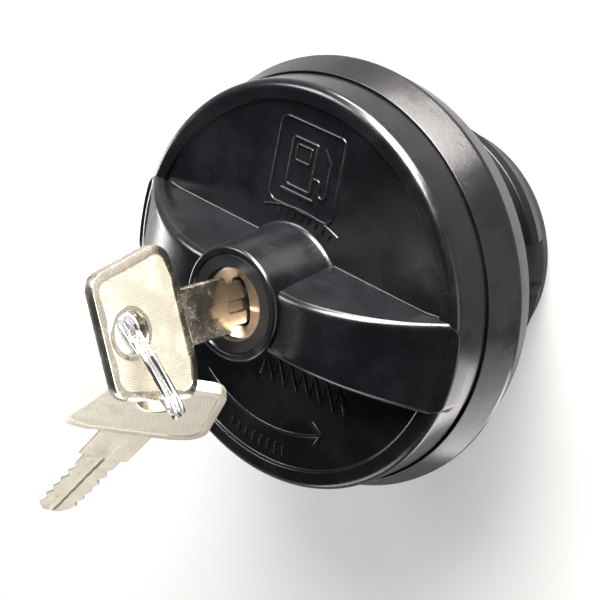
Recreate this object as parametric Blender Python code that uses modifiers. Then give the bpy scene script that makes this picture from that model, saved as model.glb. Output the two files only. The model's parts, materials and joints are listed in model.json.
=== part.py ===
"""A locking, ratcheting filler cap with its keys, as separate parts.

The cap stands on its neck: +Z runs up its axis, out of the knob's face, and the
origin is the centre of the neck's lower end. Sizes are in millimetres until MM
turns them into metres.
"""

import math

import bmesh
import bpy
from mathutils import Matrix, Vector

MM = 0.001
GAP = 0.3  # kept between pieces that touch
STEPS = 48  # sides of a large turned piece
FEW_STEPS = 32  # sides of a small turned piece

# Closure: the neck, with everything that stays still in the filler
NECK_R = 24.8
NECK_END_R = 22.7
LUG_RING_R = 28.3
LUG_RING_Z = 12.3
NECK_BORE_R = 19.6
LEDGE_R = 29.0
LEDGE_Z = 30.8
COLLAR_R = 27.2
FLANGE_R = 33.2
FLANGE_Z = 38.6
FLANGE_TOP_Z = 41.0
DECK_R = 21.0
DECK_TOP_Z = 38.4
DECK_BOTTOM_Z = 34.0
LUG_SLOTS = 3
LUG_SLOT_WIDTH = 9.0
VENT_HOLES = 4
VENT_R = 1.6
VENT_PCD_R = 15.5

# Bezel and gasket
BEZEL_FRONT_R = 39.6
BEZEL_FRONT_Z = 42.9
BEZEL_R = 42.0
BEZEL_Z = 38.0
BEZEL_REAR_R = 39.5
BEZEL_REAR_Z = 31.1
BEZEL_BORE_R = 35.7
GASKET_R = 32.0
GASKET_Z = 24.0
GASKET_TOP_Z = 27.2

# Ratchet
TEETH = 24
TOOTH_HEIGHT = 1.5
RATCHET_R = 31.0
RATCHET_BORE_R = 26.4
RATCHET_BASE_Z = FLANGE_TOP_Z + GAP
RATCHET_TOP_Z = 42.5
PAWLS = 3
CLICKER_Z = 44.9
CLICKER_TOP_Z = 46.3
CLICKER_R = 32.8
CLICKER_BORE_R = 27.4

# Knob
KNOB_R = 39.2
KNOB_SKIRT_Z = 43.3
RIM_R = 38.9
RIM_TOP_R = 37.2
RIM_TOP_Z = 53.2
FACE_R = 35.6
FACE_Z = 52.5
PLATE_Z = 49.5
SKIRT_BORE_R = 37.0
SLEEVE_R = 35.3
SLEEVE_BORE_R = 33.8
SLEEVE_Z = 34.6
BOSS_R = 11.3
BOSS_ROOT_R = 12.6
BOSS_Z = 67.1
BOSS_BORE_R = 9.5
WING_HALF_BASE = 8.3
WING_HALF_INNER = 5.95
WING_HALF_OUTER = 8.5
WING_INNER_X = 9.8
WING_OUTER_X = 37.0
WING_INNER_Z = 66.8
WING_OUTER_Z = 52.4
WING_CURVE = 2.1  # how late the wing's top falls away from the boss
WING_SECTIONS = 12
WING_WALL = 2.6
BACK_PLATE_R = 33.4
BACK_PLATE_BORE_R = 15.6
BACK_PLATE_Z = 46.6
BACK_PLATE_TOP_Z = 48.8
RETAINER_R = 33.4
RETAINER_BORE_R = 29.6
RETAINER_Z = 36.2
RETAINER_TOP_Z = 37.7
SCREWS = 4
SCREW_PCD_R = 24.0
SCREW_SHANK_R = 1.2
SCREW_HEAD_R = 2.7
SCREW_Z = 44.5
SCREW_TIP_Z = 51.4

# Lock
BUSH_R = 9.2
BUSH_BORE_R = 8.05
BUSH_Z = 43.8
BUSH_TOP_Z = 66.3
BUSH_FLANGE_R = 11.5
BUSH_FLANGE_Z = 47.0
BUSH_FLANGE_TOP_Z = 49.2
PLUG_R = 7.75
PLUG_Z = 41.9
PLUG_TOP_Z = 65.7
PLUG_GROOVE_R = 6.7
PLUG_GROOVE_Z = (42.5, 43.5)
KEYWAY_Z = 44.0
KEYWAY_HALF = 4.5
KEYWAY_THICK = 2.8
TAIL_R = 3.0
TAIL_Z = 39.2
CLIP_R = 9.3
CAM_R = 6.4
CAM_LOBE_R = 9.2
CAM_Z = 39.5
CAM_TOP_Z = 41.5
WAFERS = 5
WAFER_TOP_Z = 62.4
WAFER_PITCH = 3.6
WAFER_THICK = 1.2
WAFER_HALF_LENGTH = 6.9
WAFER_HALF_WIDTH = 2.9
CLUTCH_R = 20.4
CLUTCH_BORE_R = 10.6
CLUTCH_Z = 43.2
CLUTCH_TOP_Z = 45.2
CLUTCH_DOGS = 4
DOG_HEIGHT = 1.6
CLUTCH_SPRING_R = 13.4
CLUTCH_SPRING_Z = (45.5, 49.2)

# Valves in the neck
COVER_R = 19.2
COVER_TOP_Z = 2.4
COVER_HOLES = 6
COVER_HOLE_R = 2.0
COVER_PCD_R = 12.5
SEAT_R = 19.2
SEAT_PORT_R = 8.5
SEAT_Z = 20.0
SEAT_TOP_Z = 22.5
SEAT_SKIRT_R = 17.4
SEAL_R = (10.0, 11.6)
SEAL_Z = (21.3, 22.6)
PRESSURE_VALVE_R = 13.0
PRESSURE_VALVE_Z = (22.9, 24.9)
PORTS = 4
PORT_R = 0.9
PORT_PCD_R = 4.2
PRESSURE_SPRING_R = 9.4
PRESSURE_SPRING_Z = (25.2, 33.7)
VACUUM_VALVE_R = 6.0
VACUUM_VALVE_Z = (21.0, 22.6)
STEM_R = 1.4
STEM_CAP_R = 3.4
STEM_CAP_Z = (29.6, 30.8)
VACUUM_SPRING_R = 2.5
VACUUM_SPRING_Z = (25.2, 29.3)

# Keys and split ring; a key's own axes are X across, Y towards the bow's end, Z through it
KEY_THICK = 2.2
BOW_LENGTH = 19.6
BOW_SHOULDER = 8.2
BOW_WIDE = 13.7
BOW_WIDE_Y = 4.2
BOW_END = 10.6
BOW_CORNER = 4.2
KEY_HOLE_R = 3.7
KEY_HOLE_Y = 13.3
SHANK_HALF = 5.15
SHANK_LENGTH = 10.8
BLADE_HALF = 4.0
BLADE_END = 36.0
CUT_DEPTH = 0.8
KEY_SHOULDER_Z = 80.3
KEY_TURN = math.radians(115.5)
SPARE_AT = (-8.81, -26.8, 80.27)
SPARE_TURN = tuple(math.radians(a) for a in (13.14, 59.19, -23.66))
RING_AT = (0.54, -7.96, 86.93)
RING_NORMAL = (-0.343, -0.551, 0.761)
RING_R = 9.4
RING_WIRE_R = 0.6
RING_COIL_GAP = 1.4

COLOURS = {
    "black_plastic": ((0.012, 0.013, 0.015), 0.42, 0.0),
    "back_plastic": ((0.03, 0.03, 0.033), 0.5, 0.0),
    "acetal": ((0.72, 0.71, 0.66), 0.45, 0.0),
    "rubber": ((0.01, 0.01, 0.01), 0.8, 0.0),
    "steel": ((0.55, 0.56, 0.58), 0.28, 1.0),
    "brass": ((0.62, 0.47, 0.31), 0.25, 1.0),
    "nickel_silver": ((0.72, 0.68, 0.6), 0.28, 1.0),
    "chrome": ((0.8, 0.8, 0.82), 0.06, 1.0),
}


def clear_scene():
    for obj in list(bpy.data.objects):
        bpy.data.objects.remove(obj, do_unlink=True)


def make_collection(name):
    collection = bpy.data.collections.new(name)
    bpy.context.scene.collection.children.link(collection)
    return collection


def make_materials():
    materials = {}
    for name, (colour, roughness, metallic) in COLOURS.items():
        material = bpy.data.materials.new(name)
        material.use_nodes = True
        shader = material.node_tree.nodes["Principled BSDF"]
        shader.inputs["Base Color"].default_value = (*colour, 1.0)
        shader.inputs["Roughness"].default_value = roughness
        shader.inputs["Metallic"].default_value = metallic
        materials[name] = material
    return materials


def add_mesh(name, mesh, material=None):
    """A mesh as an object: a part if it has a material, and else a cutter."""
    obj = bpy.data.objects.new(name, mesh)
    if material is None:
        CUTTERS.objects.link(obj)
        obj.hide_render = True
        obj.display_type = "WIRE"
    else:
        PARTS.objects.link(obj)
        mesh.materials.append(MATERIALS[material])
    return obj


def turned(name, profile, material=None, steps=STEPS):
    """A profile of (radius, z) points turned round Z. It runs down its outer side.

    A profile with both ends on the axis stays open, and any other is closed."""
    on_axis = profile[0][0] == 0 and profile[-1][0] == 0
    count = len(profile)
    points = [(radius * MM, 0, z * MM) for radius, z in profile]
    edges = [(i, (i + 1) % count) for i in range(count - 1 if on_axis else count)]
    mesh = bpy.data.meshes.new(name)
    mesh.from_pydata(points, edges, [])
    obj = add_mesh(name, mesh, material)
    screw = obj.modifiers.new("Turn", "SCREW")
    screw.steps = steps
    screw.render_steps = steps
    screw.use_merge_vertices = True
    screw.merge_threshold = 0.00001
    screw.use_smooth_shade = True
    return obj


def ring(name, inner, outer, low, high, material=None, steps=STEPS):
    """A plain ring, from its two radii and two heights."""
    return turned(name, [(outer, high), (outer, low), (inner, low), (inner, high)], material, steps)


def disc(name, radius, low, high, material=None, steps=STEPS):
    """A plain disc on the axis."""
    return turned(name, [(0, high), (radius, high), (radius, low), (0, low)], material, steps)


def baked(obj):
    """Replaces the object's mesh by its evaluated one, with its modifiers gone."""
    graph = bpy.context.evaluated_depsgraph_get()
    mesh = bpy.data.meshes.new_from_object(obj.evaluated_get(graph))
    obj.modifiers.clear()
    obj.data = mesh
    return obj


def cylinder(name, radius, low, high, at=(0, 0), steps=FEW_STEPS):
    """A cutter: an upright cylinder."""
    mesh = bpy.data.meshes.new(name)
    bm = bmesh.new()
    middle = Matrix.Translation((at[0] * MM, at[1] * MM, (low + high) / 2 * MM))
    bmesh.ops.create_cone(
        bm, cap_ends=True, segments=steps, radius1=radius * MM, radius2=radius * MM,
        depth=(high - low) * MM, matrix=middle,
    )
    bm.to_mesh(mesh)
    bm.free()
    return add_mesh(name, mesh)


def box(name, low, high, turn=0.0, material=None):
    """A box between two corners, turned about Z."""
    low, high = Vector(low) * MM, Vector(high) * MM
    mesh = bpy.data.meshes.new(name)
    bm = bmesh.new()
    bmesh.ops.create_cube(bm, size=1.0)
    bmesh.ops.scale(bm, vec=high - low, verts=bm.verts)
    bmesh.ops.translate(bm, vec=(low + high) / 2, verts=bm.verts)
    bmesh.ops.rotate(bm, matrix=Matrix.Rotation(turn, 3, "Z"), verts=bm.verts)
    bm.to_mesh(mesh)
    bm.free()
    return add_mesh(name, mesh, material)


def boolean(obj, other, operation="DIFFERENCE"):
    modifier = obj.modifiers.new(other.name, "BOOLEAN")
    modifier.operation = operation
    modifier.object = other


def around(count, radius, start=0.0):
    """Angles and places of evenly spaced features on a circle."""
    for i in range(count):
        angle = start + i * math.tau / count
        yield i, angle, (radius * math.cos(angle), radius * math.sin(angle))


def coil(name, radius, wire, span, turns, material):
    """A compression spring: a wire wound round Z between two heights."""
    low, high = span[0] + wire, span[1] - wire
    count = int(turns * 12)
    curve = bpy.data.curves.new(name, "CURVE")
    curve.dimensions = "3D"
    curve.bevel_depth = wire * MM
    curve.bevel_resolution = 1
    curve.use_fill_caps = True
    spline = curve.splines.new("POLY")
    spline.points.add(count)
    for i, point in enumerate(spline.points):
        share = i / count
        angle = share * turns * math.tau
        place = (radius * math.cos(angle), radius * math.sin(angle), low + share * (high - low))
        point.co = (*(Vector(place) * MM), 1)
    obj = bpy.data.objects.new(name, curve)
    curve.materials.append(MATERIALS[material])
    PARTS.objects.link(obj)
    return obj


def make_closure():
    neck = turned(
        "filler_neck",
        [
            (0, DECK_TOP_Z), (DECK_R, DECK_TOP_Z), (DECK_R + 0.6, FLANGE_TOP_Z),
            (FLANGE_R, FLANGE_TOP_Z), (FLANGE_R, FLANGE_Z), (COLLAR_R, FLANGE_Z),
            (COLLAR_R, LEDGE_Z), (LEDGE_R, LEDGE_Z), (LEDGE_R, GASKET_TOP_Z + GAP),
            (NECK_R, GASKET_TOP_Z + GAP), (NECK_R, LUG_RING_Z + 1.2), (LUG_RING_R, LUG_RING_Z),
            (LUG_RING_R, LUG_RING_Z - 2.2), (25.6, 4.6), (24.6, 1.6), (NECK_END_R, 0),
            (NECK_BORE_R, 0), (NECK_BORE_R, DECK_BOTTOM_Z), (0, DECK_BOTTOM_Z),
        ],
        "black_plastic",
    )
    for i, angle, _ in around(LUG_SLOTS, 0, math.radians(15)):
        low = (NECK_R + 1.0, -LUG_SLOT_WIDTH / 2, LUG_RING_Z - 3.4)
        high = (LUG_RING_R + 2, LUG_SLOT_WIDTH / 2, LUG_RING_Z + 2)
        boolean(neck, box(f"lug_slot_{i}", low, high, angle))
    for i, _, at in around(VENT_HOLES, VENT_PCD_R):
        boolean(neck, cylinder(f"vent_{i}", VENT_R, DECK_BOTTOM_Z - 1, DECK_TOP_Z + 1, at, 16))
    turned(
        "bezel_ring",
        [
            (BEZEL_BORE_R, BEZEL_FRONT_Z - 0.2), (BEZEL_FRONT_R - 0.3, BEZEL_FRONT_Z),
            (BEZEL_FRONT_R, BEZEL_FRONT_Z - 0.3), (BEZEL_R - 0.2, BEZEL_Z + 0.4),
            (BEZEL_R, BEZEL_Z), (BEZEL_R - 0.2, BEZEL_Z - 0.5),
            (BEZEL_REAR_R, BEZEL_REAR_Z + 0.5), (BEZEL_REAR_R - 0.6, BEZEL_REAR_Z),
            (COLLAR_R + GAP, BEZEL_REAR_Z), (COLLAR_R + GAP, BEZEL_REAR_Z + 2.4),
            (BEZEL_BORE_R, BEZEL_REAR_Z + 2.4),
        ],
        "black_plastic",
    )
    ring("neck_gasket", NECK_R + GAP, GASKET_R, GASKET_Z, GASKET_TOP_Z, "rubber")
    make_ratchet_ring()


def make_ratchet_ring():
    """A ring whose upper face is raised into ratchet teeth."""
    obj = ring(
        "ratchet_ring", RATCHET_BORE_R, RATCHET_R, RATCHET_BASE_Z, RATCHET_TOP_Z, "acetal",
        4 * TEETH,
    )
    baked(obj)
    for vertex in obj.data.vertices:
        if vertex.co.z < (RATCHET_TOP_Z - 0.1) * MM:
            continue
        angle = math.atan2(vertex.co.y, vertex.co.x) % math.tau
        step = round(angle / math.tau * 4 * TEETH) % 4
        vertex.co.z += TOOTH_HEIGHT * step / 3 * MM


def make_retainer():
    """The snap ring that holds the knob under the closure's flange, open like a circlip."""
    retainer = ring(
        "knob_retainer", RETAINER_BORE_R, RETAINER_R, RETAINER_Z, RETAINER_TOP_Z, "steel"
    )
    gap_low = (-3, RETAINER_BORE_R - 2, RETAINER_Z - 1)
    boolean(retainer, box("retainer_gap", gap_low, (3, RETAINER_R + 2, RETAINER_TOP_Z + 1)))


def make_wing(name, side, shrink, material=None):
    """One wing of the handle, lofted from trapezoid sections out along X.

    A positive shrink makes it smaller all round: the hollow under the wing."""
    mesh = bpy.data.meshes.new(name)
    bm = bmesh.new()
    # A whole wing runs on into the boss and out through the rim, and its hollow stops short
    first_x = WING_INNER_X + (4.0 if shrink else -2.0)
    last_x = WING_OUTER_X + (-3.0 if shrink else 3.0)
    base = PLATE_Z + (-1.0 if shrink else 1.0)
    sections = []
    for i in range(WING_SECTIONS + 1):
        x = first_x + i / WING_SECTIONS * (last_x - first_x)
        share = min(max((x - WING_INNER_X) / (WING_OUTER_X - WING_INNER_X), 0), 1)
        half_top = WING_HALF_INNER + share * (WING_HALF_OUTER - WING_HALF_INNER) - shrink
        half_base = WING_HALF_BASE - shrink
        top = WING_INNER_Z - share**WING_CURVE * (WING_INNER_Z - WING_OUTER_Z) - shrink
        corners = [(-half_base, base), (half_base, base), (half_top, top), (-half_top, top)]
        sections.append([bm.verts.new((side * x * MM, y * MM, z * MM)) for y, z in corners])
    for first, second in zip(sections, sections[1:]):
        for i in range(4):
            bm.faces.new((first[i], first[(i + 1) % 4], second[(i + 1) % 4], second[i]))
    bm.faces.new(sections[0])
    bm.faces.new(sections[-1])
    bmesh.ops.recalc_face_normals(bm, faces=bm.faces)
    bm.to_mesh(mesh)
    bm.free()
    return add_mesh(name, mesh, material)


def make_knob():
    shell = turned(
        "knob_shell",
        [
            (0, FACE_Z), (FACE_R - 0.4, FACE_Z), (FACE_R, RIM_TOP_Z - 0.2),
            (FACE_R + 0.6, RIM_TOP_Z), (RIM_TOP_R, RIM_TOP_Z - 0.3), (RIM_R - 0.3, 51.6),
            (RIM_R, 50.2), (KNOB_R, KNOB_SKIRT_Z), (SKIRT_BORE_R, KNOB_SKIRT_Z),
            (SKIRT_BORE_R, PLATE_Z), (SLEEVE_R, PLATE_Z), (SLEEVE_R, SLEEVE_Z),
            (SLEEVE_BORE_R - 1.3, SLEEVE_Z), (SLEEVE_BORE_R - 1.3, SLEEVE_Z + 1.2),
            (SLEEVE_BORE_R, SLEEVE_Z + 1.2), (SLEEVE_BORE_R, PLATE_Z), (0, PLATE_Z),
        ],
        "black_plastic",
    )
    boss = turned(
        "boss",
        [
            (0, BOSS_Z), (BOSS_R - 1.2, BOSS_Z), (BOSS_R - 0.3, BOSS_Z - 0.5),
            (BOSS_R, BOSS_Z - 1.4), (BOSS_R + 0.6, FACE_Z + 2.2), (BOSS_ROOT_R, FACE_Z - 0.1),
            (BOSS_ROOT_R, PLATE_Z + 0.5), (0, PLATE_Z + 0.5),
        ],
        steps=FEW_STEPS,
    )
    rim = disc("rim_limit", RIM_TOP_R + 0.6, PLATE_Z + 0.4, BOSS_Z + 5)
    for side, label in ((1, "right"), (-1, "left")):
        wing = make_wing(f"wing_{label}", side, 0.0)
        boolean(wing, rim, "INTERSECT")
        boolean(shell, wing, "UNION")
    boolean(shell, boss, "UNION")
    for side, label in ((1, "right"), (-1, "left")):
        boolean(shell, make_wing(f"wing_hollow_{label}", side, WING_WALL))
    boolean(shell, cylinder("boss_bore", BOSS_BORE_R, PLATE_Z - 2, BOSS_Z + 2))
    back = ring(
        "knob_back_plate", BACK_PLATE_BORE_R, BACK_PLATE_R, BACK_PLATE_Z, BACK_PLATE_TOP_Z,
        "back_plastic",
    )
    for i, angle, at in around(SCREWS, SCREW_PCD_R, math.radians(45)):
        hole = cylinder(f"screw_hole_{i}", SCREW_SHANK_R + GAP, SCREW_Z, SCREW_TIP_Z + GAP, at, 20)
        boolean(shell, hole)
        boolean(back, hole)
        screw = turned(
            f"back_plate_screw_{i + 1}",
            [
                (0, SCREW_TIP_Z), (SCREW_SHANK_R, SCREW_TIP_Z - 0.8),
                (SCREW_SHANK_R, BACK_PLATE_Z - GAP), (SCREW_HEAD_R, BACK_PLATE_Z - GAP),
                (SCREW_HEAD_R, SCREW_Z + 0.6), (SCREW_HEAD_R - 0.6, SCREW_Z), (0, SCREW_Z),
            ],
            "steel", 20,
        )
        screw.location = Vector((*at, 0)) * MM
        screw.rotation_euler.z = angle
    clicker = ring("clicker_ring", CLICKER_BORE_R, CLICKER_R, CLICKER_Z, CLICKER_TOP_Z, "acetal")
    pawl_low = RATCHET_TOP_Z + TOOTH_HEIGHT + GAP
    for i, angle, _ in around(PAWLS, 0):
        low = (CLICKER_BORE_R + 0.6, -1.5, pawl_low)
        high = (RATCHET_R - 0.4, 1.5, CLICKER_Z + 0.4)
        boolean(clicker, box(f"pawl_{i}", low, high, angle), "UNION")


def make_lock():
    turned(
        "lock_bush",
        [
            (BUSH_R - 0.4, BUSH_TOP_Z), (BUSH_R, BUSH_TOP_Z - 0.4), (BUSH_R, BUSH_FLANGE_TOP_Z),
            (BUSH_FLANGE_R, BUSH_FLANGE_TOP_Z), (BUSH_FLANGE_R, BUSH_FLANGE_Z),
            (BUSH_R, BUSH_FLANGE_Z), (BUSH_R, BUSH_Z), (BUSH_BORE_R, BUSH_Z),
            (BUSH_BORE_R, BUSH_TOP_Z),
        ],
        "back_plastic", FEW_STEPS,
    )
    plug = turned(
        "lock_plug",
        [
            (0, PLUG_TOP_Z), (PLUG_R - 0.5, PLUG_TOP_Z), (PLUG_R, PLUG_TOP_Z - 0.5),
            (PLUG_R, PLUG_GROOVE_Z[1]), (PLUG_GROOVE_R, PLUG_GROOVE_Z[1]),
            (PLUG_GROOVE_R, PLUG_GROOVE_Z[0]), (PLUG_R, PLUG_GROOVE_Z[0]), (PLUG_R, PLUG_Z),
            (TAIL_R, PLUG_Z), (TAIL_R, TAIL_Z), (0, TAIL_Z),
        ],
        "brass", FEW_STEPS,
    )
    low = (-KEYWAY_HALF, -KEYWAY_THICK / 2, KEYWAY_Z)
    high = (KEYWAY_HALF, KEYWAY_THICK / 2, PLUG_TOP_Z + 1)
    boolean(plug, box("keyway", low, high, KEY_TURN))
    for i in range(WAFERS):
        top = WAFER_TOP_Z - i * WAFER_PITCH
        low = (-PLUG_R - 1, -WAFER_HALF_WIDTH - GAP, top - WAFER_THICK - GAP)
        high = (PLUG_R + 1, WAFER_HALF_WIDTH + GAP, top + GAP)
        boolean(plug, box(f"wafer_slot_{i}", low, high, KEY_TURN))
        low = (-WAFER_HALF_LENGTH, -WAFER_HALF_WIDTH, top - WAFER_THICK)
        high = (WAFER_HALF_LENGTH, WAFER_HALF_WIDTH, top)
        wafer = box(f"wafer_{i + 1}", low, high, KEY_TURN, "brass")
        low = (-KEYWAY_HALF, -KEYWAY_THICK / 2, top - WAFER_THICK - 1)
        high = (KEYWAY_HALF, KEYWAY_THICK / 2, top + 1)
        boolean(wafer, box(f"wafer_window_{i}", low, high, KEY_TURN))
    clip = ring(
        "lock_clip", PLUG_GROOVE_R + GAP, CLIP_R, PLUG_GROOVE_Z[0] + 0.15, PLUG_GROOVE_Z[1] - 0.15,
        "steel", FEW_STEPS,
    )
    low = (-2.2, -CLIP_R - 2, PLUG_GROOVE_Z[0] - 1)
    boolean(clip, box("clip_gap", low, (2.2, 0, PLUG_GROOVE_Z[1] + 1)))
    cam = ring("lock_cam", TAIL_R + GAP, CAM_R, CAM_Z, CAM_TOP_Z, "steel", FEW_STEPS)
    low = (TAIL_R + 1, -2.5, CAM_Z + 0.2)
    lobe = box("cam_lobe", low, (CAM_LOBE_R, 2.5, CAM_TOP_Z - 0.2), KEY_TURN)
    boolean(cam, lobe, "UNION")


def make_clutch():
    clutch = ring("clutch_plate", CLUTCH_BORE_R, CLUTCH_R, CLUTCH_Z, CLUTCH_TOP_Z, "steel")
    for i, angle, _ in around(CLUTCH_DOGS, 0, math.radians(45)):
        low = (CLUTCH_R - 5, -2, CLUTCH_Z - DOG_HEIGHT)
        dog = box(f"clutch_dog_{i}", low, (CLUTCH_R - 1, 2, CLUTCH_Z + 0.5), angle)
        boolean(clutch, dog, "UNION")
    coil("clutch_spring", CLUTCH_SPRING_R, 0.4, CLUTCH_SPRING_Z, 2.5, "steel")


def make_valves():
    cover = disc("valve_cover", COVER_R, 0, COVER_TOP_Z, "back_plastic")
    for i, _, at in around(COVER_HOLES, COVER_PCD_R):
        boolean(cover, cylinder(f"cover_hole_{i}", COVER_HOLE_R, -1, COVER_TOP_Z + 1, at, 20))
    turned(
        "valve_seat",
        [
            (SEAL_R[0] - GAP, SEAT_TOP_Z), (SEAL_R[0] - GAP, SEAL_Z[0] - GAP),
            (SEAL_R[1] + GAP, SEAL_Z[0] - GAP), (SEAL_R[1] + GAP, SEAT_TOP_Z),
            (SEAT_R, SEAT_TOP_Z), (SEAT_R, COVER_TOP_Z + GAP), (SEAT_SKIRT_R, COVER_TOP_Z + GAP),
            (SEAT_SKIRT_R, SEAT_Z - 0.6), (SEAT_PORT_R, SEAT_Z - 0.6),
            (SEAT_PORT_R, SEAT_TOP_Z),
        ],
        "acetal", FEW_STEPS,
    )
    ring("valve_seal", *SEAL_R, *SEAL_Z, "rubber", FEW_STEPS)
    valve = ring("pressure_valve", STEM_R + GAP, PRESSURE_VALVE_R, *PRESSURE_VALVE_Z, "acetal")
    for i, _, at in around(PORTS, PORT_PCD_R):
        low, high = PRESSURE_VALVE_Z[0] - 1, PRESSURE_VALVE_Z[1] + 1
        boolean(valve, cylinder(f"port_{i}", PORT_R, low, high, at, 16))
    coil("pressure_spring", PRESSURE_SPRING_R, 0.5, PRESSURE_SPRING_Z, 4, "steel")
    turned(
        "vacuum_valve",
        [
            (0, STEM_CAP_Z[1]), (STEM_CAP_R, STEM_CAP_Z[1]), (STEM_CAP_R, STEM_CAP_Z[0]),
            (STEM_R, STEM_CAP_Z[0]), (STEM_R, VACUUM_VALVE_Z[1]),
            (VACUUM_VALVE_R, VACUUM_VALVE_Z[1]), (VACUUM_VALVE_R, VACUUM_VALVE_Z[0]),
            (0, VACUUM_VALVE_Z[0]),
        ],
        "acetal", FEW_STEPS,
    )
    coil("vacuum_spring", VACUUM_SPRING_R, 0.3, VACUUM_SPRING_Z, 4, "steel")


def arc(centre, radius, start, end, steps=4):
    """Points of an arc, in degrees."""
    for i in range(steps + 1):
        angle = math.radians(start + (end - start) * i / steps)
        yield centre[0] + radius * math.cos(angle), centre[1] + radius * math.sin(angle)


def blade_edge():
    """The right edge of the blade from the tip up to the shank, with its shallow cuts."""
    yield 1.6, -BLADE_END
    yield BLADE_HALF - 0.6, -BLADE_END + 2.6
    start = -BLADE_END + 4.0
    for i in range(WAFERS):
        y = start + i * WAFER_PITCH
        yield BLADE_HALF, y
        yield BLADE_HALF - CUT_DEPTH * (1 - 0.25 * (i % 3)), y + 1.1
        yield BLADE_HALF - CUT_DEPTH * (1 - 0.25 * (i % 3)), y + 1.9
        yield BLADE_HALF, y + 3.0
    yield BLADE_HALF, -SHANK_LENGTH
    yield SHANK_HALF, -SHANK_LENGTH


def key_outline():
    """The right half of a key, from the blade's tip to the middle of the bow's end."""
    yield from blade_edge()
    yield SHANK_HALF, 0.0
    yield BOW_SHOULDER, 0.0
    yield from arc((BOW_WIDE - BOW_CORNER, BOW_WIDE_Y), BOW_CORNER, -75, 10)
    yield from arc((BOW_END - BOW_CORNER, BOW_LENGTH - BOW_CORNER), BOW_CORNER, 10, 90)


def make_key(name, location, rotation):
    """A key stamped from one plate, as a filled outline with its hole."""
    half = list(key_outline())
    outline = half + [(-x, y) for x, y in reversed(half)]
    curve = bpy.data.curves.new(name, "CURVE")
    curve.dimensions = "2D"
    curve.fill_mode = "BOTH"
    curve.extrude = KEY_THICK / 2 * MM
    hole = list(arc((0, KEY_HOLE_Y), KEY_HOLE_R, 0, 360 * 23 / 24, 23))
    for points in (outline, hole):
        spline = curve.splines.new("POLY")
        spline.points.add(len(points) - 1)
        for point, (x, y) in zip(spline.points, points):
            point.co = (x * MM, y * MM, 0, 1)
        spline.use_cyclic_u = True
    curve.materials.append(MATERIALS["nickel_silver"])
    obj = bpy.data.objects.new(name, curve)
    PARTS.objects.link(obj)
    obj.location = Vector(location) * MM
    obj.rotation_euler = rotation
    return obj


def make_split_ring():
    """Two turns of wire side by side, stepping over once."""
    per_turn = 32
    count = 2 * per_turn - 2
    curve = bpy.data.curves.new("split_ring", "CURVE")
    curve.dimensions = "3D"
    curve.bevel_depth = RING_WIRE_R * MM
    curve.bevel_resolution = 2
    curve.use_fill_caps = True
    spline = curve.splines.new("POLY")
    spline.points.add(count)
    for i, point in enumerate(spline.points):
        angle = i / per_turn * math.tau
        step = min(max((i - per_turn + 4) / 6, 0), 1)
        offset = RING_COIL_GAP * (step * step * (3 - 2 * step) - 0.5)
        place = Vector((RING_R * math.cos(angle), RING_R * math.sin(angle), offset))
        point.co = (*(place * MM), 1)
    curve.materials.append(MATERIALS["chrome"])
    obj = bpy.data.objects.new("split_ring", curve)
    PARTS.objects.link(obj)
    obj.location = Vector(RING_AT) * MM
    obj.rotation_euler = Vector(RING_NORMAL).to_track_quat("Z", "Y").to_euler()


def main():
    make_closure()
    make_retainer()
    make_knob()
    make_lock()
    make_clutch()
    make_valves()
    make_key("key_in_lock", (0, 0, KEY_SHOULDER_Z), (math.radians(90), 0, KEY_TURN))
    make_key("spare_key", SPARE_AT, SPARE_TURN)
    make_split_ring()


clear_scene()
PARTS = make_collection("filler_cap")
CUTTERS = make_collection("cutters")
MATERIALS = make_materials()
main()
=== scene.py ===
"""Looks for a locking filler cap: its knob, bezel, neck, lock and keys, with their finishes.

The cap stands on its neck. +Z runs up its axis and out of the knob's face, +X runs along
the handle's wings, and the origin is the centre of the neck's lower end. Shapes are worked
out in millimetres, and put into the meshes in metres.
"""

import json
import math

import bmesh
import bpy
import numpy as np
from bpy.props import FloatProperty, FloatVectorProperty, PointerProperty
from bpy.types import Operator, Panel, PropertyGroup
from mathutils import Euler, Matrix, Vector


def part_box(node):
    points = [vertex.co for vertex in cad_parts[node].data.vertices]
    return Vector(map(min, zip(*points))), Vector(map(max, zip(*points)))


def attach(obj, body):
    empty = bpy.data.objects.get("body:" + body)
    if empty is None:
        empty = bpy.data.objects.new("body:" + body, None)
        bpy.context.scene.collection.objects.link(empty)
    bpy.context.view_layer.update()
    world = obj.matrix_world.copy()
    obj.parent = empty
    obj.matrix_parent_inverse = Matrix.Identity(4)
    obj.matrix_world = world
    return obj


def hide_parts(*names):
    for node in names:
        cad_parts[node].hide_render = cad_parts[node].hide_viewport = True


bl_info = {
    "name": "Locking Filler Cap",
    "version": (1, 0, 0),
    "blender": (4, 5, 0),
    "location": "View3D > Sidebar > Filler Cap",
    "description": "Builds the knob, bezel, neck, lock and keys of a locking filler cap",
    "category": "Object",
}

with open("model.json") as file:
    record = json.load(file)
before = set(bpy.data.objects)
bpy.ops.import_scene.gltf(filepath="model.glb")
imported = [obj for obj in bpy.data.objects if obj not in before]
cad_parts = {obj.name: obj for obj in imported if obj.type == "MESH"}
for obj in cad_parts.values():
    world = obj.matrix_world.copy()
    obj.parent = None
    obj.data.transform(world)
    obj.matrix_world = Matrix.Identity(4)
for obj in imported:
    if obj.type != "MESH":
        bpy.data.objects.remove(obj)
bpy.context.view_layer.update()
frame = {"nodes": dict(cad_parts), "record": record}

# Lengths are in millimetres here, and in metres in the property groups and for the camera and
# the lights

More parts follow.
